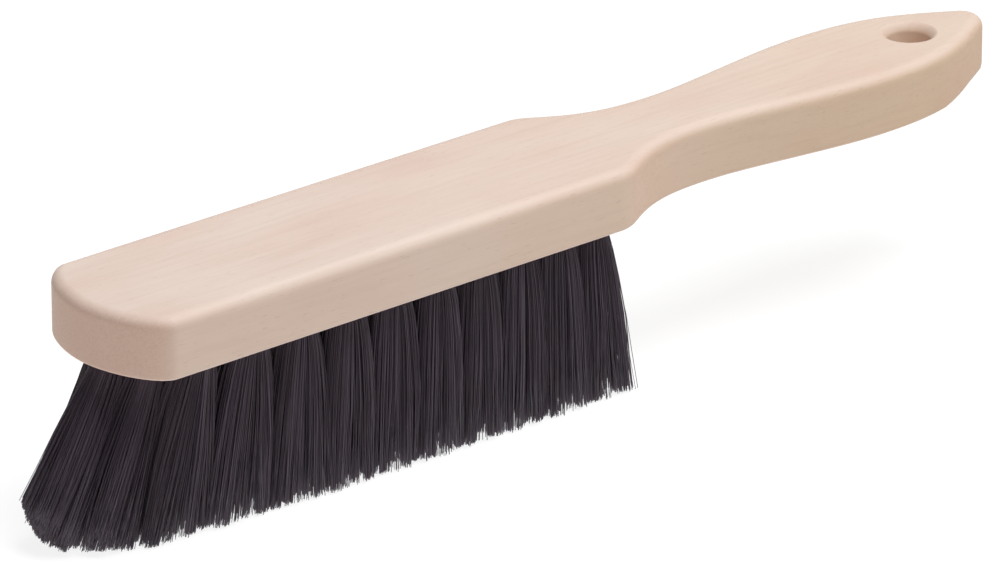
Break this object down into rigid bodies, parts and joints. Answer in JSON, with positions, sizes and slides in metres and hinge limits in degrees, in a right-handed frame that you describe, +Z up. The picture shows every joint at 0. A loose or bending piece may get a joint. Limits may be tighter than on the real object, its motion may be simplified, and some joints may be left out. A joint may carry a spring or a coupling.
{
  "type": "hand brush",
  "caption": "Hand brush with a flat one-piece beech stock and handle, black bristle tufts fanned out at the toe, and a hang hole.",
  "frame": {"origin": "middle of the box's footprint, on the surface that the trimmed bristle ends stand on", "axes": "+X from the toe to the handle tip, +Y across the brush, +Z up from the bristle ends to the flat top"},
  "size_m": [0.3074, 0.0456, 0.0615],
  "materials": {
    "beech": "raw, sanded beech, matt",
    "bristle": "black fibre bundles, satin, trimmed ends"
  },
  "bodies": {
    "root": {"wooden_stock": "beech", "tuft_01": "bristle", "tuft_02": "bristle", "tuft_03": "bristle", "tuft_04": "bristle", "tuft_05": "bristle", "tuft_06": "bristle", "tuft_07": "bristle", "tuft_08": "bristle", "tuft_09": "bristle", "tuft_10": "bristle", "tuft_11": "bristle", "tuft_12": "bristle", "tuft_13": "bristle", "tuft_14": "bristle", "tuft_15": "bristle", "tuft_16": "bristle", "tuft_17": "bristle", "tuft_18": "bristle", "tuft_19": "bristle", "tuft_20": "bristle", "tuft_21": "bristle", "tuft_22": "bristle", "tuft_23": "bristle", "tuft_24": "bristle", "tuft_25": "bristle", "tuft_26": "bristle", "tuft_27": "bristle", "tuft_28": "bristle", "tuft_29": "bristle", "tuft_30": "bristle", "tuft_31": "bristle", "tuft_32": "bristle", "tuft_33": "bristle"}
  },
  "joints": []
}
